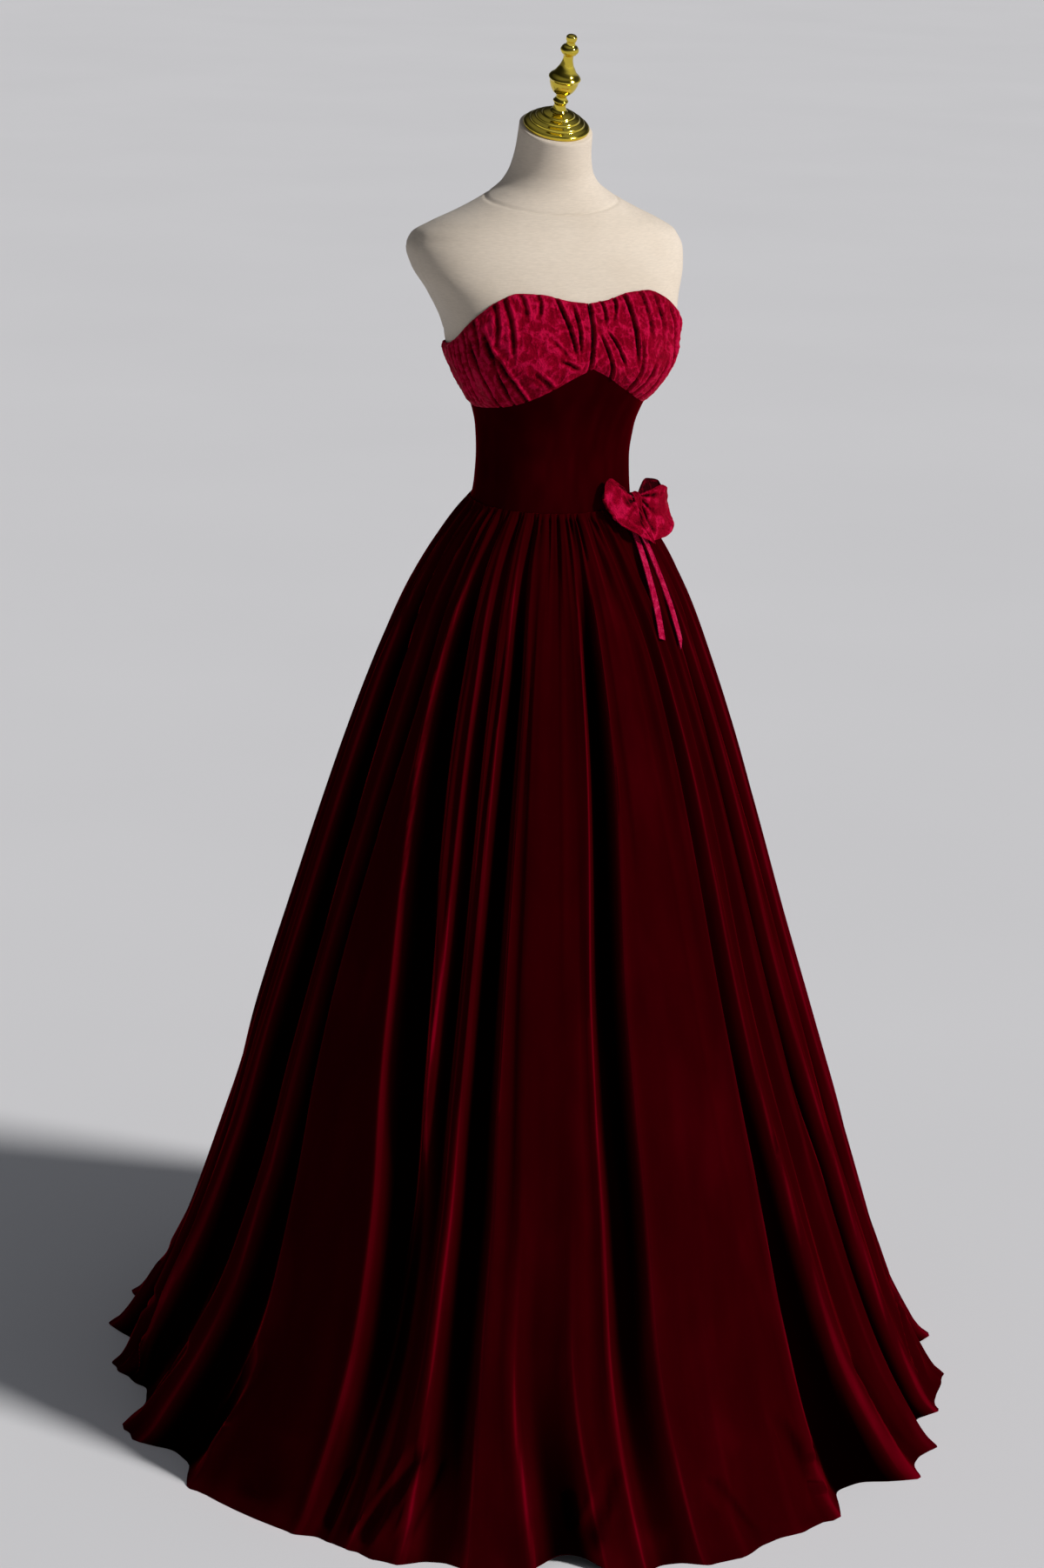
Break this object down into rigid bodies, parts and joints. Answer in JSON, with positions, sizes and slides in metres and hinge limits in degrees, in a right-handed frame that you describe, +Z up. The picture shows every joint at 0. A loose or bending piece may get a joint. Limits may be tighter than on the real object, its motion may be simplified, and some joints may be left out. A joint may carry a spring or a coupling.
{
  "type": "velvet prom dress on a dress form",
  "caption": "Strapless floor-length velvet evening dress with ruched bust, plain midriff, gathered full skirt and waist bow, worn by a limbless display form on a stand.",
  "frame": {"origin": "on the floor, at the middle of the underside of the stand's round foot, which is also the middle of the hem", "axes": "+Z up; the wearer faces -Y; +X is the wearer's left"},
  "size_m": [1.1538, 1.183, 1.796],
  "materials": {
    "dark_velvet": "deep wine-red cotton or silk velvet with a short upright pile, near black where it turns away",
    "crushed_velvet": "crimson crushed velvet with pressed, shining patches, ruched",
    "satin_ribbon": "narrow velvet-faced ribbon, bright crimson, soft shine",
    "form_linen": "tight cream linen-cotton cover, plain weave, matte",
    "gold_metal": "polished yellow-gold plating, mirror-like",
    "stand_steel": "black painted steel, satin",
    "zip_nylon": "wine-red nylon coil, matte",
    "zip_metal": "wine-red enamelled zinc slider and pull"
  },
  "bodies": {
    "dress_on_form": {"form_torso": "form_linen", "form_cap": "gold_metal", "form_finial": "gold_metal", "stand_foot": "stand_steel", "stand_pole": "stand_steel", "bust_front_left": "crushed_velvet", "bust_front_right": "crushed_velvet", "bust_back_left": "crushed_velvet", "bust_back_right": "crushed_velvet", "midriff_front": "dark_velvet", "midriff_back_left": "dark_velvet", "midriff_back_right": "dark_velvet", "skirt_front": "dark_velvet", "skirt_back_left": "dark_velvet", "skirt_back_right": "dark_velvet", "zip_coil": "zip_nylon", "zip_slider": "zip_metal", "bow_loop_right": "crushed_velvet", "bow_loop_left": "crushed_velvet", "bow_knot": "crushed_velvet", "ribbon_tail_inner": "satin_ribbon", "ribbon_tail_outer": "satin_ribbon"},
    "pull": {"zip_pull": "zip_metal"}
  },
  "joints": [
    {"name": "pull_swing", "type": "hinge", "parent": "dress_on_form", "child": "pull", "pos_m": [0, 0.09212, 1.394], "axis": [1, 0, 0], "range_deg": [0, 150]}
  ]
}
